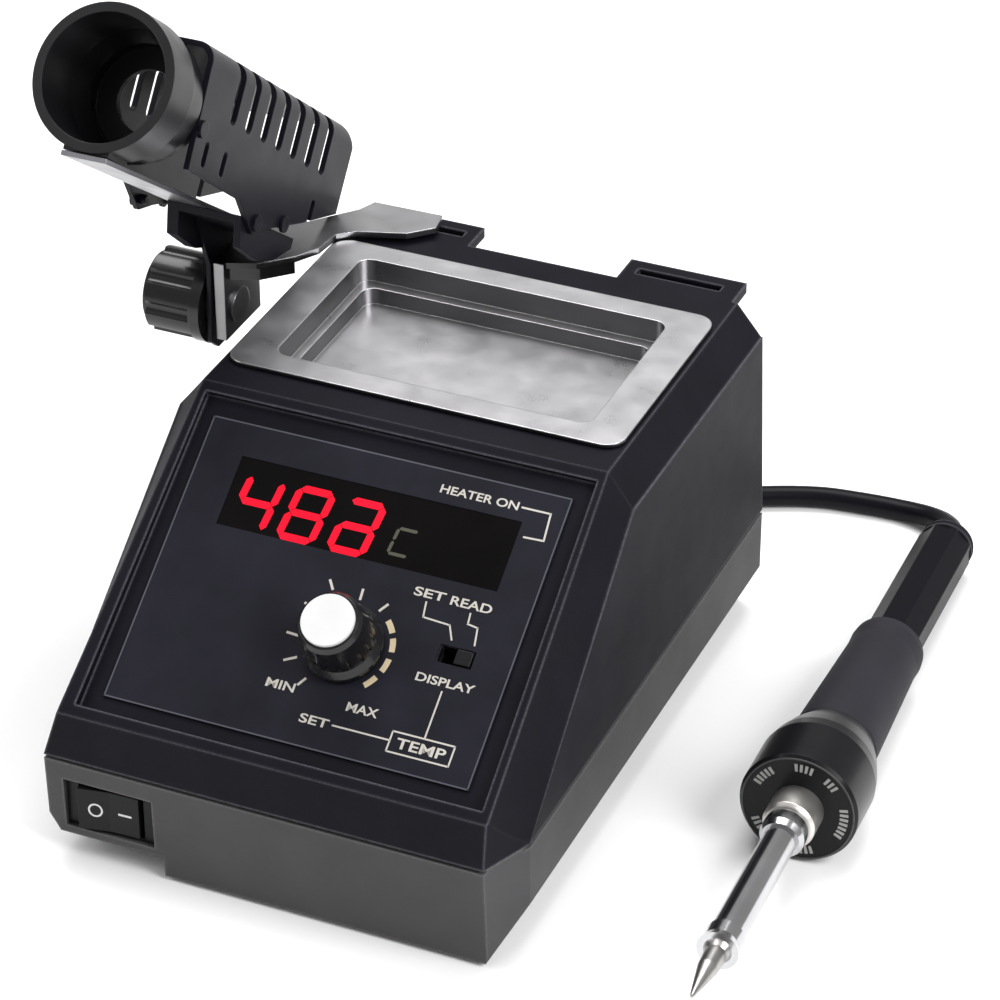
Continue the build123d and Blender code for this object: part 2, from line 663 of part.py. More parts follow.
with BuildPart() as barrel_collar:
    revolve(outline([(4.0, 0), (6.3, 0), (6.3, 7.2), (5.6, 8.0), (4.0, 8.0)], iron_side), axis=iron_axis)
save(barrel_collar, "barrel_collar")

with BuildPart() as heat_flange:
    profile = [
        (4.0, 0), (13.6, 0), (flange_radius, -0.8), (flange_radius, -15.0), (13.7, -18.5), (12.2, -23.5),
        (10.3, -28.0), (4.0, -28.0),
    ]
    revolve(outline(profile, iron_side), axis=iron_axis)
save(heat_flange, "heat_flange")

with BuildPart() as grip_sleeve:
    profile = [
        (7.0, -28.0), (10.1, -28.0), (10.5, -29.0), (10.5, -31.7), (9.1, -69.0), (9.3, -73.0), (9.1, -75.0),
        (7.2, -77.0), (7.0, -77.0),
    ]
    revolve(outline(profile, iron_side), axis=iron_axis)
save(grip_sleeve, "grip_sleeve")

handle_flats = 6.75
with BuildPart() as iron_handle:
    revolve(outline([(4.0, -28.0), (7.0, -28.0), (7.0, -77.0), (4.0, -77.0)], iron_side), axis=iron_axis)
    with BuildSketch(iron_station(-127.5)):
        RegularPolygon(handle_flats, 8, major_radius=False, rotation=22.5)
    extrude(amount=50.5)
    revolve(outline([(0, -80.0), (4.0, -80.0), (4.0, -70.0), (0, -70.0)], iron_side), axis=iron_axis,
            mode=Mode.SUBTRACT)
save(iron_handle, "iron_handle")

with BuildPart() as handle_end:
    profile = [
        (0, -127.5), (7.1, -127.5), (7.1, -128.6), (6.5, -128.9), (6.5, -129.4), (7.1, -129.7),
        (6.9, -130.5), (5.4, iron_rear), (0, iron_rear),
    ]
    revolve(outline(profile, iron_side), axis=iron_axis)
save(handle_end, "handle_end")

# ---------------------------------------------------------------- cord
rear_end = Vector(*iron_origin) + forward * iron_rear
before_end = rear_end - forward * 6.0
iron_route = [
    (-30, 98.6, 2.75), (0, 99.4, 2.75), (27, 116, 2.75), (54, 130, 2.75), (70, 132.1, 2.75),
    (80, 132.6, 2.8), (87.6, 131.2, 3.7), (93.0, 127.2, 5.4), tuple(before_end), tuple(rear_end),
]
station_route = [
    (14.0, 134, 8.25), (14.0, 118, 8.6), (14.2, 102, 12.2), (14.0, 86.0, 14.5),
]


def bend_radii(route):
    points = [Vector(*p) for p in route]
    radii = []
    for before, here, after in zip(points, points[1:], points[2:]):
        run = min((here - before).length, (after - here).length)
        turn = (here - before).get_angle(after - here)
        radii.append(0.45 * run / tan(radians(turn) / 2))
    return radii


def tube_along(route):
    radii = bend_radii(route)
    print("bend radii", [round(r, 1) for r in radii])
    with BuildPart() as tube:
        with BuildLine() as path:
            FilletPolyline(*route, radius=radii)
        with BuildSketch(Plane(origin=path.line @ 0, z_dir=path.line % 0)):
            Circle(cord_radius)
        sweep()
    length = sum(edge.length for edge in path.line.edges())
    expected = pi * cord_radius**2 * length
    print("length", round(length, 1), "volume", round(tube.part.volume), "of", round(expected))
    return tube.part


with BuildPart() as iron_cord:
    add(tube_along(iron_route))
save(iron_cord, "iron_cord")

with BuildPart() as station_cord:
    add(tube_along(station_route))
save(station_cord, "station_cord")

with BuildPart() as cord_coil:
    extrude(disc(Plane.XY, coil_outer, coil_center), amount=coil_height)
    extrude(disc(Plane.XY, coil_inner, coil_center), amount=coil_height, mode=Mode.SUBTRACT)
    fillet(cord_coil.edges(), 2.7)
save(cord_coil, "cord_coil")

tie_half = 3.0
tie_wall = 0.8
with BuildPart() as coil_tie:
    tie_plane = Plane.XZ.offset(-coil_center[1] + tie_half)
    ring_middle = (coil_center[0] - (coil_inner + coil_outer) / 2, coil_height / 2)
    coil_width = coil_outer - coil_inner
    outer_loop = plate(tie_plane, coil_width + 2 * tie_wall, coil_height, ring_middle, 3.0)
    extrude(outer_loop, amount=-2 * tie_half)
    inner_loop = plate(tie_plane, coil_width, coil_height - 2 * tie_wall, ring_middle, 2.4)
    extrude(inner_loop, amount=-2 * tie_half, mode=Mode.SUBTRACT)
save(coil_tie, "coil_tie")
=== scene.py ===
from math import cos, pi, radians, sin

import bmesh
import bpy
from mathutils import Matrix, Vector


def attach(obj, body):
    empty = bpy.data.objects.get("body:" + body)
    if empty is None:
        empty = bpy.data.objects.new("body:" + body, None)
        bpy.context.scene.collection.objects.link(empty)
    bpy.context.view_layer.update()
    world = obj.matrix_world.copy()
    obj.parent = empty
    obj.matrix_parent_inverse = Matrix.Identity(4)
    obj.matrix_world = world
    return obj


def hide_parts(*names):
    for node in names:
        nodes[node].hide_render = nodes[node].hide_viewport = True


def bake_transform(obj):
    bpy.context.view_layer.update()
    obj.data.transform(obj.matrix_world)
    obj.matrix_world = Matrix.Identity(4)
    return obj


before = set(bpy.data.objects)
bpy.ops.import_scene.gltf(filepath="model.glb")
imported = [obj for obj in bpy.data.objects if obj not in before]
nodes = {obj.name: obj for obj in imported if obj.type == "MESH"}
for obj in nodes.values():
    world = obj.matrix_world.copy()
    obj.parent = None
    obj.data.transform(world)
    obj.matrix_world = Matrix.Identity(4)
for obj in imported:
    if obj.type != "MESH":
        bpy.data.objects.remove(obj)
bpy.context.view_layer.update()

MM = 0.001
scene = bpy.context.scene
scene.view_settings.view_transform = "Standard"

# ------------------------------------------------------------------ camera
AZIMUTH = radians(23.392)
ELEVATION = radians(32.913)
LENS = 145.21
SENSOR = 36
CAMERA_PLACE = (335.1, -725.5, 581.4)
back = Vector((sin(AZIMUTH) * cos(ELEVATION), -cos(AZIMUTH) * cos(ELEVATION), sin(ELEVATION)))
right = Vector((cos(AZIMUTH), sin(AZIMUTH), 0))
camera_data = bpy.data.cameras.new("camera")
camera_data.lens = LENS
camera_data.sensor_width = SENSOR
camera = bpy.data.objects.new("camera", camera_data)
scene.collection.objects.link(camera)
turn = Matrix((right, back.cross(right), back)).transposed()
camera.matrix_world = Matrix.Translation(Vector(CAMERA_PLACE) * MM) @ turn.to_4x4()
scene.camera = camera


# ------------------------------------------------------------------ helpers
def piece(name, mesh, body):
    obj = bpy.data.objects.new(name, mesh)
    scene.collection.objects.link(obj)
    if body:
        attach(obj, body)
    return obj


def mesh_from(name, verts, faces, smooth=False):
    mesh = bpy.data.meshes.new(name)
    mesh.from_pydata([tuple(v) for v in verts], [], faces)
    mesh.validate()
    if smooth:
        mesh.shade_smooth()
    return mesh


def nurbs_line(points, resolution=8):
    """Points read along a NURBS spline of order 3 through the given route."""
    data = bpy.data.curves.new("route", "CURVE")
    data.dimensions = "3D"
    spline = data.splines.new("NURBS")
    spline.points.add(len(points) - 1)
    for slot, p in zip(spline.points, points):
        slot.co = (p[0] * MM, p[1] * MM, p[2] * MM, 1)
    spline.order_u = 3
    spline.use_endpoint_u = True
    spline.resolution_u = resolution
    obj = bpy.data.objects.new("route", data)
    scene.collection.objects.link(obj)
    mesh = bpy.data.meshes.new_from_object(obj)
    line = [v.co.copy() for v in mesh.vertices]
    bpy.data.objects.remove(obj)
    bpy.data.meshes.remove(mesh)
    bpy.data.curves.remove(data)
    return line


def tube(name, line, radius, sides=20):
    """A closed tube along a line of points, its section carried without twist."""
    verts, faces = [], []
    normal = None
    for i, p in enumerate(line):
        ahead = (line[min(i + 1, len(line) - 1)] - line[max(i - 1, 0)]).normalized()
        if normal is None:
            normal = ahead.orthogonal().normalized()
        normal = (normal - ahead * normal.dot(ahead)).normalized()
        side = ahead.cross(normal)
        for k in range(sides):
            a = 2 * pi * k / sides
            verts.append(p + (normal * cos(a) + side * sin(a)) * radius)
    for i in range(len(line) - 1):
        for k in range(sides):
            a, b = i * sides + k, i * sides + (k + 1) % sides
            faces.append((a, b, b + sides, a + sides))
    faces.append(tuple(range(sides))[::-1])
    last = (len(line) - 1) * sides
    faces.append(tuple(last + k for k in range(sides)))
    return mesh_from(name, verts, faces, smooth=True)


# ------------------------------------------------------------------ cord
CORD = 5.5
COIL_X, COIL_Y = -22.0, 136.0
OUTER_TURN = 36.0
INNER_TURN = 25.0
INNER_STEP = 1.4
UPPER_LAYER = 8.25
LOWER_LAYER = 2.75
UPPER_END = 720
LOWER_START = 810
COIL_STEPS = 115
STEP_ANGLE = 15
gland_route = [(14.0, 86.0, 14.5), (14.2, 102, 12.2), (14.0, 118, 8.6)]
floor_route = [
    (0, 99.4, 2.75), (27, 116, 2.75), (54, 130, 2.75), (70, 132.1, 2.75), (80, 132.6, 2.8),
    (87.6, 131.2, 3.7), (93.0, 127.2, 5.4), (96.62, 122.03, 6.95), (96.88, 116.05, 7.27),
]
coil_route = []
for step in range(COIL_STEPS):
    degree = step * STEP_ANGLE
    if degree <= UPPER_END:
        radius = OUTER_TURN - CORD * degree / 360
        height = UPPER_LAYER
    elif degree <= LOWER_START:
        share = (degree - UPPER_END) / (LOWER_START - UPPER_END)
        radius = INNER_TURN - INNER_STEP * share
        height = UPPER_LAYER + (LOWER_LAYER - UPPER_LAYER) * share
    else:
        radius = INNER_TURN - INNER_STEP + CORD * (degree - LOWER_START) / 360
        height = LOWER_LAYER
    angle = radians(degree)
    coil_route.append((COIL_X + radius * cos(angle), COIL_Y + radius * sin(angle), height))
cord_line = nurbs_line(gland_route + coil_route + floor_route)
cord = piece("cord", tube("cord", cord_line, CORD / 2 * MM), None)
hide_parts("iron_cord", "station_cord", "cord_coil")
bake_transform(cord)


# ------------------------------------------------------------------ materials
def finish(name, color, rough, metal=0.0, grain=0.0, depth=0.0, vary=0.12, swing=0.06, coat=0.0, edge=0.35,
           brushed=None, glow=0.0, edge_wear_and_highlight=None, gloss=0.25):
    """Moulded or plated surface: bump grain, patchy colour, uneven roughness, eased edges."""
    mat = bpy.data.materials.new(name)
    mat.use_nodes = True
    tree = mat.node_tree
    link = tree.links.new
    shader = tree.nodes["Principled BSDF"]
    shader.inputs["Metallic"].default_value = metal
    shader.inputs["Specular IOR Level"].default_value = gloss
    shader.inputs["Coat Weight"].default_value = coat
    shader.inputs["Coat Roughness"].default_value = 0.08
    coords = tree.nodes.new("ShaderNodeTexCoord")
    patch = tree.nodes.new("ShaderNodeTexNoise")
    patch.inputs["Scale"].default_value = 55
    patch.inputs["Detail"].default_value = 4
    link(coords.outputs["Object"], patch.inputs["Vector"])
    ramp = tree.nodes.new("ShaderNodeValToRGB")
    ramp.color_ramp.elements[0].position = 0.3
    ramp.color_ramp.elements[1].position = 0.7
    ramp.color_ramp.elements[0].color = [c * (1 - vary) for c in color] + [1]
    ramp.color_ramp.elements[1].color = [min(1, c * (1 + vary)) for c in color] + [1]
    link(patch.outputs["Fac"], ramp.inputs["Fac"])
    link(ramp.outputs["Color"], shader.inputs["Base Color"])
    smear = tree.nodes.new("ShaderNodeTexNoise")
    smear.inputs["Scale"].default_value = 130
    smear.inputs["Detail"].default_value = 5
    link(coords.outputs["Object"], smear.inputs["Vector"])
    if brushed:
        stretch = tree.nodes.new("ShaderNodeMapping")
        stretch.inputs["Scale"].default_value = brushed
        link(coords.outputs["Object"], stretch.inputs["Vector"])
        link(stretch.outputs["Vector"], smear.inputs["Vector"])
    span = tree.nodes.new("ShaderNodeMapRange")
    span.inputs["To Min"].default_value = max(0.02, rough - swing)
    span.inputs["To Max"].default_value = rough + swing
    link(smear.outputs["Fac"], span.inputs["Value"])
    link(span.outputs["Result"], shader.inputs["Roughness"])
    bump = tree.nodes.new("ShaderNodeBump")
    bump.inputs["Strength"].default_value = 0.6
    bump.inputs["Distance"].default_value = max(depth, 0.004) * MM
    fine = tree.nodes.new("ShaderNodeTexNoise")
    fine.inputs["Scale"].default_value = 1 / (max(grain, 0.2) * MM)
    fine.inputs["Detail"].default_value = 2
    link(coords.outputs["Object"], fine.inputs["Vector"])
    link(fine.outputs["Fac"], bump.inputs["Height"])
    if edge:
        eased = tree.nodes.new("ShaderNodeBevel")
        eased.samples = 4
        eased.inputs["Radius"].default_value = edge * MM
        link(eased.outputs["Normal"], bump.inputs["Normal"])
    link(bump.outputs["Normal"], shader.inputs["Normal"])
    if edge_wear_and_highlight:
        # paler, speckled edges where the surface turns sharply: painted edge highlight together with wear
        wide = tree.nodes.new("ShaderNodeBevel")
        wide.samples = 6
        wide.inputs["Radius"].default_value = 1.1 * MM
        facing = tree.nodes.new("ShaderNodeNewGeometry")
        dot = tree.nodes.new("ShaderNodeVectorMath")
        dot.operation = "DOT_PRODUCT"
        link(wide.outputs["Normal"], dot.inputs[0])
        link(facing.outputs["Normal"], dot.inputs[1])
        edge_mask = tree.nodes.new("ShaderNodeMapRange")
        edge_mask.inputs["From Min"].default_value = 0.995
        edge_mask.inputs["From Max"].default_value = 0.86
        link(dot.outputs["Value"], edge_mask.inputs["Value"])
        speck = tree.nodes.new("ShaderNodeMath")
        speck.operation = "MULTIPLY"
        link(edge_mask.outputs["Result"], speck.inputs[0])
        link(fine.outputs["Fac"], speck.inputs[1])
        pale_edge_mix = tree.nodes.new("ShaderNodeMix")
        pale_edge_mix.data_type = "RGBA"
        pale_edge_a = [i for i in pale_edge_mix.inputs if i.name == "A" and i.type == "RGBA"][0]
        pale_edge_b = [i for i in pale_edge_mix.inputs if i.name == "B" and i.type == "RGBA"][0]
        pale_edge_b.default_value = list(edge_wear_and_highlight) + [1]
        link(speck.outputs["Value"], pale_edge_mix.inputs[0])
        link(ramp.outputs["Color"], pale_edge_a)
        result = [o for o in pale_edge_mix.outputs if o.type == "RGBA"][0]
        link(result, shader.inputs["Base Color"])
    if glow:
        shader.inputs["Emission Color"].default_value = list(color) + [1]
        shader.inputs["Emission Strength"].default_value = glow
    return mat


def paint_wall_shade(mat, low):
    """Painted shade on upright walls, while level faces stay bright."""
    tree = mat.node_tree
    shader = tree.nodes["Principled BSDF"]
    source = shader.inputs["Base Color"].links[0].from_socket
    facing = tree.nodes.new("ShaderNodeNewGeometry")
    split = tree.nodes.new("ShaderNodeSeparateXYZ")
    tree.links.new(facing.outputs["Normal"], split.inputs["Vector"])
    level = tree.nodes.new("ShaderNodeMapRange")
    level.inputs["From Min"].default_value = 0.2
    level.inputs["From Max"].default_value = 0.9
    level.inputs["To Min"].default_value = low
    tree.links.new(split.outputs["Z"], level.inputs["Value"])
    dim = tree.nodes.new("ShaderNodeVectorMath")
    dim.operation = "SCALE"
    tree.links.new(source, dim.inputs[0])
    tree.links.new(level.outputs["Result"], dim.inputs["Scale"])
    tree.links.new(dim.outputs["Vector"], shader.inputs["Base Color"])


BLACK = (0.006, 0.006, 0.007)
looks = {
    # case, base and tray get paler speckled edges: painted edge highlight together with wear
    "case": finish("case", (0.0050, 0.0046, 0.0078), 0.55, grain=0.5, depth=0.05, vary=0.2, edge=0.5,
                   edge_wear_and_highlight=(0.13, 0.13, 0.15), gloss=0.08),
    "base": finish("base", (0.050, 0.048, 0.050), 0.6, grain=0.6, depth=0.06, vary=0.1, edge=0.5,
                   edge_wear_and_highlight=(0.16, 0.155, 0.16)),
    "label": finish("label", (0.0105, 0.0102, 0.0155), 0.42, grain=0.3, depth=0.01, vary=0.25,
                    gloss=0.09, edge=0),
    "window": finish("window", (0.0025, 0.002, 0.002), 0.12, vary=0.3, swing=0.03, gloss=0.12, edge=0),
    "knob": finish("knob", BLACK, 0.22, grain=0.4, depth=0.012, swing=0.05,
                   coat=0.25, edge=0.3, gloss=0.3),
    "flange": finish("flange", BLACK, 0.3, grain=0.4, depth=0.012, swing=0.06,
                     coat=0.05, edge=0.3, gloss=0.16),
    "cap": finish("cap", (0.58, 0.58, 0.58), 0.5, grain=0.4, depth=0.02, vary=0.06),
    "switch": finish("switch", (0.008, 0.008, 0.009), 0.32, grain=0.4, depth=0.01, gloss=0.15),
    "rubber": finish("rubber", (0.012, 0.012, 0.012), 0.75, grain=0.5, depth=0.05),
    "tray": finish("tray", (0.70, 0.69, 0.71), 0.3, metal=1, grain=1.2, depth=0.012, vary=0.10, swing=0.08,
                   edge=0.5, edge_wear_and_highlight=(0.8, 0.8, 0.8)),
    "zinc": finish("zinc", (0.52, 0.52, 0.53), 0.3, metal=1, grain=0.7, depth=0.015, vary=0.12, swing=0.08),
    "chrome": finish("chrome", (0.50, 0.50, 0.51), 0.17, metal=1, vary=0.06, swing=0.05, edge=0),
    # support strip: plating colour darkened well below chrome, as painted shade under the guard
    "strip": finish("strip", (0.22, 0.22, 0.235), 0.32, metal=1, grain=0.6, depth=0.012,
                    vary=0.2, swing=0.1),
    "silver": finish("silver", (0.66, 0.64, 0.61), 0.38, metal=1, grain=0.4, depth=0.02, vary=0.1,
                     swing=0.1),
    "guard": finish("guard", (0.0055, 0.0052, 0.0085), 0.36, grain=0.6, depth=0.02,
                    swing=0.08, gloss=0.11),
    "cup": finish("cup", (0.005, 0.005, 0.006), 0.35, grain=0.5, depth=0.015, swing=0.08, gloss=0.3),
    "grip": finish("grip", (0.016, 0.015, 0.020), 0.7, grain=0.35, depth=0.05, edge=0, gloss=0.2),
    "handle": finish("handle", (0.004, 0.004, 0.006), 0.38, grain=0.4, depth=0.012, edge=0.6, gloss=0.07),
    "cord": finish("cord", (0.005, 0.005, 0.007), 0.34, grain=0.8, depth=0.02, edge=0, gloss=0.09),
    "tip": finish("tip", (0.36, 0.35, 0.34), 0.3, metal=1, grain=0.3, depth=0.03, vary=0.3,
                  swing=0.12, edge=0),
    "steel": finish("steel", (0.4, 0.4, 0.4), 0.35, metal=1, grain=0.4, depth=0.02),
    "copper": finish("copper", (0.45, 0.17, 0.07), 0.35, metal=1, grain=0.5, depth=0.03),
    "core": finish("core", (0.12, 0.12, 0.13), 0.5, metal=0.6, grain=0.5, depth=0.04),
    "board": finish("board", (0.02, 0.12, 0.04), 0.35, grain=0.5, depth=0.02),
    "glass": finish("glass", (0.55, 0.6, 0.6), 0.1, grain=0.5, depth=0.01),
    "gold": finish("gold", (0.46, 0.38, 0.25), 0.5, grain=0.3, depth=0.01, vary=0.15, edge=0),
    "print": finish("print", (0.42, 0.40, 0.36), 0.6, grain=0.3, depth=0.01, vary=0.1, edge=0),
    "edge": finish("edge", (0.055, 0.055, 0.07), 0.5, grain=0.3, depth=0.01, edge=0),
    "white": finish("white", (0.60, 0.60, 0.59), 0.5, grain=0.3, depth=0.01, vary=0.05, edge=0),
    "rim": finish("rim", (0.05, 0.05, 0.05), 0.4, grain=0.3, depth=0.01, edge=0),
    "mark": finish("mark", (0.30, 0.30, 0.29), 0.5, grain=0.3, depth=0.01, edge=0),
    "lit": finish("lit", (0.62, 0.003, 0.016), 0.4, vary=0.2, glow=0.75, edge=0, gloss=0.1),
    "faint": finish("faint", (0.055, 0.055, 0.04), 0.4, vary=0.1, edge=0),
}
# painted shade: the sponge tray's upright walls are darkened by their facing
paint_wall_shade(looks["tray"], 0.22)
# painted shade: upright faces of the arm plate, clamp bolt and washer are darkened by their facing
paint_wall_shade(looks["zinc"], 0.45)
node_looks = {
    "case": ["upper_housing"], "base": ["base_pan"], "label": ["panel_label"], "window": ["display_window"],
    "knob": ["set_knob", "clamp_knob"], "flange": ["heat_flange"], "cap": ["knob_cap"],
    "switch": ["display_switch_body", "display_switch_slider", "power_switch_body",
               "power_rocker", "mains_inlet",
               "coil_tie", "led_digits"],
    "rubber": ["rubber_feet", "cord_gland"], "tray": ["sponge_tray"],
    "zinc": ["arm_plate", "clamp_bolt", "clamp_washer"],
    "strip": ["support_strip"], "chrome": ["heater_tube", "tip_nut", "retaining_nut"],
    "silver": ["barrel_collar"],
    "guard": ["guard", "tilt_bracket", "holder_rivets"], "cup": ["holder_cup"],
    "grip": ["grip_sleeve", "handle_end"],
    "handle": ["iron_handle"], "cord": ["iron_cord", "station_cord", "cord_coil"],
    "tip": ["soldering_tip"],
    "steel": ["case_screws", "board_heatsink", "pot_body", "pot_shaft"], "copper": ["transformer_winding"],
    "core": ["transformer_core", "heater_element"], "board": ["display_board", "control_board"],
    "glass": ["mains_fuse", "heater_lamp"],
}
for look, names in node_looks.items():
    for name in names:
        nodes[name].data.materials.clear()
        nodes[name].data.materials.append(looks[look])
cord.data.materials.append(looks["cord"])

# ------------------------------------------------------------------ printing on the panel
PANEL = Vector((0.8, -73.3, 42.8))
PANEL_UP = Vector((0, 0.8214, 0.5703))
PANEL_OUT = Vector((0, -0.5703, 0.8214))
panel_turn = Matrix((Vector((1, 0, 0)), PANEL_UP, PANEL_OUT)).transposed().to_4x4()
panel_matrix = Matrix.Translation(PANEL * MM) @ panel_turn


def flat_shapes(name, shapes, matrix, height, thick, look, body):
    """Thin raised shapes, each an outline in millimetres, standing on a plane."""
    verts, faces = [], []
    for shape in shapes:
        n, base = len(shape), len(verts)
        verts += [matrix @ (Vector((x, y, height)) * MM) for x, y in shape]
        verts += [matrix @ (Vector((x, y, height + thick)) * MM) for x, y in shape]
        faces.append([base + i for i in range(n)][::-1])
        faces.append([base + n + i for i in range(n)])
        faces += [(base + i, base + (i + 1) % n, base + n + (i + 1) % n, base + n + i) for i in range(n)]
    mesh = mesh_from(name, verts, faces)
    b = bmesh.new()
    b.from_mesh(mesh)
    bmesh.ops.recalc_face_normals(b, faces=b.faces)
    b.to_mesh(mesh)
    b.free()
    mesh.materials.append(looks[look])
    return piece(name, mesh, body)


def bar(x0, y0, x1, y1, width):
    run = Vector((x1 - x0, y1 - y0))
    side = Vector((-run.y, run.x)).normalized() * (width / 2)
    return [(x0 + side.x, y0 + side.y), (x0 - side.x, y0 - side.y), (x1 - side.x, y1 - side.y),
            (x1 + side.x, y1 + side.y)]


def box_lines(x0, y0, x1, y1, width):
    h = width / 2
    return [bar(x0 - h, y0, x1 + h, y0, width), bar(x1, y0 - h, x1, y1 + h, width),
            bar(x1 + h, y1, x0 - h, y1, width), bar(x0, y1 + h, x0, y0 - h, width)]


def words(name, entries, matrix, height, look, body):
    """Flat lettering; an entry is text, left edge, lower edge, width and letter height in millimetres."""
    joined = bmesh.new()
    for text, x, y, width, tall in entries:
        data = bpy.data.curves.new("word", "FONT")
        data.body = text
        data.extrude = 0.02
        data.offset = 0.018
        obj = bpy.data.objects.new("word", data)
        scene.collection.objects.link(obj)
        mesh = bpy.data.meshes.new_from_object(obj)
        xs = [v.co.x for v in mesh.vertices]
        ys = [v.co.y for v in mesh.vertices]
        wide, high = width / (max(xs) - min(xs)), tall / (max(ys) - min(ys))
        fit = Matrix.Diagonal((wide, high, 1.0, 1)) @ Matrix.Translation((-min(xs), -min(ys), 0.02))
        place = matrix @ Matrix.Scale(MM, 4) @ Matrix.Translation((x, y, height))
        mesh.transform(place @ fit)
        joined.from_mesh(mesh)
        bpy.data.objects.remove(obj)
        bpy.data.curves.remove(data)
        bpy.data.meshes.remove(mesh)
    mesh = bpy.data.meshes.new(name)
    joined.to_mesh(mesh)
    joined.free()
    mesh.materials.append(looks[look])
    return piece(name, mesh, body)


FLAT = 0.03
words("panel_words", [
    ("HEATER ON", 13.3, 66.9, 19.4, 2.1), ("SET", 16.0, 41.4, 7.7, 2.2), ("READ", 25.1, 41.2, 10.1, 2.2),
    ("DISPLAY", 23.5, 21.9, 14.3, 2.1), ("TEMP", 24.6, 5.4, 12.0, 2.5), ("SET", 0.6, 5.7, 7.2, 2.2),
    ("MIN", -10.1, 11.9, 7.1, 2.2), ("MAX", 10.4, 10.9, 7.7, 2.2),
], panel_matrix, 0, "print", "station")
lines = [
    bar(33.4, 67.9, 40.6, 67.9, 0.45), bar(40.6, 68.1, 41.2, 61.2, 0.45), bar(41.4, 61.2, 36.2, 61.0, 0.45),
    bar(19.6, 40.6, 20.2, 36.6, 0.4), bar(20.0, 36.8, 27.0, 36.4, 0.4),
    bar(26.8, 36.6, 28.6, 33.0, 0.4), bar(30.6, 40.4, 30.9, 37.6, 0.4), bar(30.7, 37.7, 33.6, 37.3, 0.4),
    bar(33.4, 37.5, 34.2, 33.0, 0.4), bar(30.6, 20.9, 30.6, 9.1, 0.4),
    bar(8.6, 6.8, 22.9, 6.8, 0.4), bar(-1.3, 16.0, -2.7, 13.9, 0.6),
    bar(-6.3, 25.3, -9.8, 25.5, 0.6), bar(-5.2, 20.3, -8.1, 18.8, 0.6), bar(-2.8, 37.9, -4.4, 40.2, 0.6),
    bar(4.3, 37.1, 4.1, 39.9, 0.6), bar(9.6, 35.6, 11.2, 37.8, 0.6), bar(-5.2, 31.8, -8.2, 33.4, 0.6),
]
lines += box_lines(22.9, 4.2, 38.1, 9.1, 0.4)
flat_shapes("panel_lines", lines, panel_matrix, 0, FLAT, "print", "station")
KNOB_X, KNOB_Y = 4.8, 25.8
DIAL_OUTER = 11.9
DIAL_INNER = 10.5
DIAL_HALF = 8.5
dial = []
for start in (38, 14, -12, -38):
    low, high = radians(start - DIAL_HALF), radians(start + DIAL_HALF)
    steps = [low + (high - low) * i / 6 for i in range(7)]
    dial.append([(KNOB_X + DIAL_OUTER * cos(a), KNOB_Y + DIAL_OUTER * sin(a)) for a in steps]
                + [(KNOB_X + DIAL_INNER * cos(a), KNOB_Y + DIAL_INNER * sin(a)) for a in reversed(steps)])
flat_shapes("dial_segments", dial, panel_matrix, 0, FLAT, "gold", "station")
flat_shapes("panel_edge", box_lines(-46.45, 0.25, 44.25, 72.55, 0.35),
            panel_matrix, 0, FLAT, "edge", "station")

# ------------------------------------------------------------------ display
SEGMENTS = {"4": "bcfg", "8": "abcdefg", "2": "abcdeg", "C": "adef"}


def digit(symbol, left, low, width, tall, stroke, slant):
    """Seven-segment figure as mitred strokes."""
    gap = 0.1
    half = stroke / 2
    w, h = width - stroke, (tall - stroke) / 2
    ends = {
        "a": ((0, 2 * h), (w, 2 * h)), "g": ((0, h), (w, h)), "d": ((0, 0), (w, 0)),
        "f": ((0, h), (0, 2 * h)), "b": ((w, h), (w, 2 * h)), "e": ((0, 0), (0, h)), "c": ((w, 0), (w, h)),
    }
    shapes = []
    for key in SEGMENTS[symbol]:
        (x0, y0), (x1, y1) = ends[key]
        run = Vector((x1 - x0, y1 - y0)).normalized()
        side = Vector((-run.y, run.x))
        p0, p1 = Vector((x0, y0)) + run * gap, Vector((x1, y1)) - run * gap
        ring = [p0, p0 + (run + side) * half, p1 + (side - run) * half, p1, p1 - (run + side) * half,
                p0 + (run - side) * half]
        shapes.append([(left + half + q.x + slant * (q.y + half), low + half + q.y) for q in ring])
    return shapes


SLANT = 0.1
lit = []
for symbol, left in (("4", -34.2), ("8", -21.5), ("2", -8.6)):
    lit += digit(symbol, left, 46.9, 10.0, 14.2, 1.8, SLANT)
flat_shapes("lit_segments", lit, panel_matrix, -0.2, FLAT, "lit", "station")
flat_shapes("unlit_segments", digit("C", 6.0, 49.4, 5.6, 7.2, 0.8, SLANT),
            panel_matrix, -0.2, FLAT, "faint", "station")

# ------------------------------------------------------------------ marks on the rocker


def wall_plane(x0, y0, x1, y1, z):
    """Plane standing on a wall seen from the front, x along the wall, y up."""
    along = Vector((x1 - x0, y1 - y0, 0)).normalized()
    out = along.cross(Vector((0, 0, 1)))
    return (Matrix.Translation(Vector((x0, y0, z)) * MM)
            @ Matrix((along, Vector((0, 0, 1)), out)).transposed().to_4x4())


middle = -42.15
off_face = wall_plane(middle - 7.5, -81.6, middle, -80.2, 15.3)
on_face = wall_plane(middle, -80.2, middle + 7.5, -80.0, 15.3)
ring = []
for k in range(20):
    a, b = 2 * pi * k / 20, 2 * pi * (k + 1) / 20
    ring.append([(4.2 + 1.8 * cos(a), 1.9 * sin(a)), (4.2 + 1.8 * cos(b), 1.9 * sin(b)),
                 (4.2 + 1.35 * cos(b), 1.45 * sin(b)), (4.2 + 1.35 * cos(a), 1.45 * sin(a))])
flat_shapes("rocker_off_mark", ring, off_face, 0, 0.04, "white", "rocker_body")
flat_shapes("rocker_on_mark", [bar(2.2, 0, 5.6, 0, 0.55)], on_face, 0, 0.04, "white", "rocker_body")

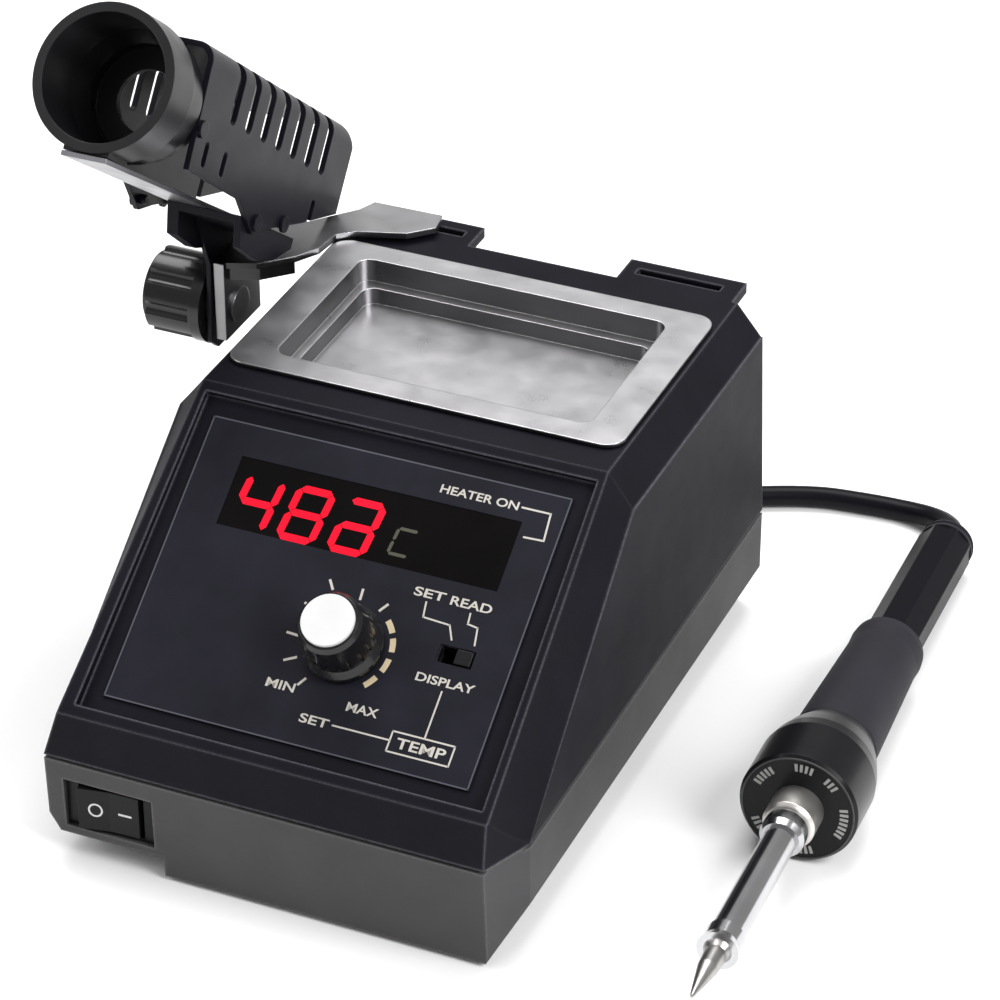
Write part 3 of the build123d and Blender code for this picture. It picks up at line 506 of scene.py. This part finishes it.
# ------------------------------------------------------------------ ring and ticks on the heat flange
IRON = Vector((102.65, -14.64, 14.34))
FORWARD = Vector((0.044, -0.9976, 0.054)).normalized()
ACROSS = Vector((0, 0, 1)).cross(FORWARD).normalized()
iron_turn = Matrix((ACROSS, FORWARD.cross(ACROSS), FORWARD)).transposed().to_4x4()
iron_matrix = Matrix.Translation(IRON * MM) @ iron_turn
RIM_RADIUS = 13.5
RIM_STEPS = 72
rim_angles = [2 * pi * k / RIM_STEPS for k in range(RIM_STEPS + 1)]
loop = [iron_matrix @ (Vector((RIM_RADIUS * cos(a), RIM_RADIUS * sin(a), 0.1)) * MM)
        for a in rim_angles]
rim = piece("flange_rim", tube("flange_rim", loop, 0.22 * MM, 8), "iron_body")
rim.data.materials.append(looks["rim"])
TICK_OUTER = 12.2
TICK_INNER = 10.2
TICK_PITCH = 0.11
TICK_WIDTH = 0.06
marks = []
for start, count in ((-2.7, 4), (-1.7, 5), (-0.5, 7), (0.7, 3), (1.3, 4), (2.2, 5)):
    for k in range(count):
        a, b = start + TICK_PITCH * k, start + TICK_PITCH * k + TICK_WIDTH
        marks.append([(TICK_OUTER * cos(a), TICK_OUTER * sin(a)), (TICK_OUTER * cos(b), TICK_OUTER * sin(b)),
                      (TICK_INNER * cos(b), TICK_INNER * sin(b)), (TICK_INNER * cos(a), TICK_INNER * sin(a))])
flat_shapes("flange_marks", marks, iron_matrix, 0, 0.15, "mark", "iron_body")

# ------------------------------------------------------------------ floor and light
bpy.ops.mesh.primitive_plane_add(size=8, location=(0, 0, -0.0002))
floor = bpy.context.object
floor.name = "floor"
floor.data.materials.append(finish("floor", (0.90, 0.90, 0.90), 0.8, vary=0.005, grain=2.0, depth=0.01))

world = bpy.data.worlds.new("studio")
world.use_nodes = True
world.node_tree.nodes["Background"].inputs["Color"].default_value = (1, 1, 1, 1)
world.node_tree.nodes["Background"].inputs["Strength"].default_value = 0.42
scene.world = world


def softbox(name, place, target, size, power):
    data = bpy.data.lights.new(name, "AREA")
    data.shape = "RECTANGLE"
    data.size, data.size_y = size
    data.energy = power
    lamp = bpy.data.objects.new(name, data)
    scene.collection.objects.link(lamp)
    lamp.location = place
    lamp.rotation_euler = (Vector(place) - Vector(target)).to_track_quat("Z", "Y").to_euler()


softbox("key", (1.0, -0.25, 0.9), (0, 0, 0.05), (0.7, 0.7), 17)
softbox("top", (-0.2, 0.45, 1.3), (0, 0, 0.05), (1.1, 0.9), 20)
softbox("left", (-0.9, -0.5, 0.6), (0, 0, 0.08), (0.5, 0.7), 4)
